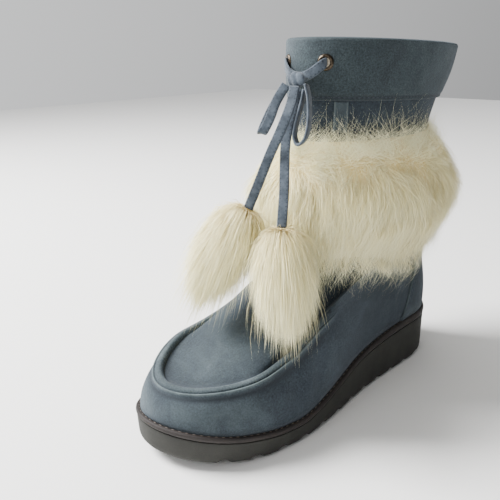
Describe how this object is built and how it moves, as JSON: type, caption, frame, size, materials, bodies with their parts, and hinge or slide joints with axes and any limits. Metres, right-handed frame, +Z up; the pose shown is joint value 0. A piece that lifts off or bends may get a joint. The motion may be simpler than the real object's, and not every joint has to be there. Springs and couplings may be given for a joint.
{
  "type": "ankle boot",
  "caption": "Left suede ankle boot on a low wedge sole, with a moccasin apron, a folded cuff, a fur band and a flat lace tied in front with fur pompoms.",
  "frame": {"origin": "on the floor, under the middle of the boot's outline, the lace left out", "axes": "+Z up, +Y from the toe to the heel, +X to the outer side of the foot; the boot stands on z = 0"},
  "size_m": [0.1454, 0.308, 0.2579],
  "materials": {
    "sole_rubber": "dull dark grey rubber",
    "welt_leather": "dull brown strip",
    "lining": "soft pale lining",
    "suede": "blue-grey suede with a short nap",
    "black_patch": "plain black patch, half matt",
    "aged_brass": "darkened brass",
    "cream_fur": "long cream fur",
    "suede_lace": "flat blue-grey suede lace"
  },
  "bodies": {
    "root": {"outsole": "sole_rubber", "welt": "welt_leather", "insole": "lining", "upper": "suede", "counter": "suede", "heel_badge": "black_patch", "cuff": "suede", "seam_tape_outer": "suede", "seam_tape_inner": "suede", "pull_loop": "suede", "eyelet_outer": "aged_brass", "eyelet_inner": "aged_brass", "fur_band": "cream_fur", "lace_bar": "suede_lace", "lace_knot": "suede_lace", "lace_loop_outer": "suede_lace", "lace_loop_inner": "suede_lace", "lace_end_outer": "suede_lace", "lace_end_inner": "suede_lace", "pompom_outer": "cream_fur", "pompom_inner": "cream_fur"}
  },
  "joints": []
}
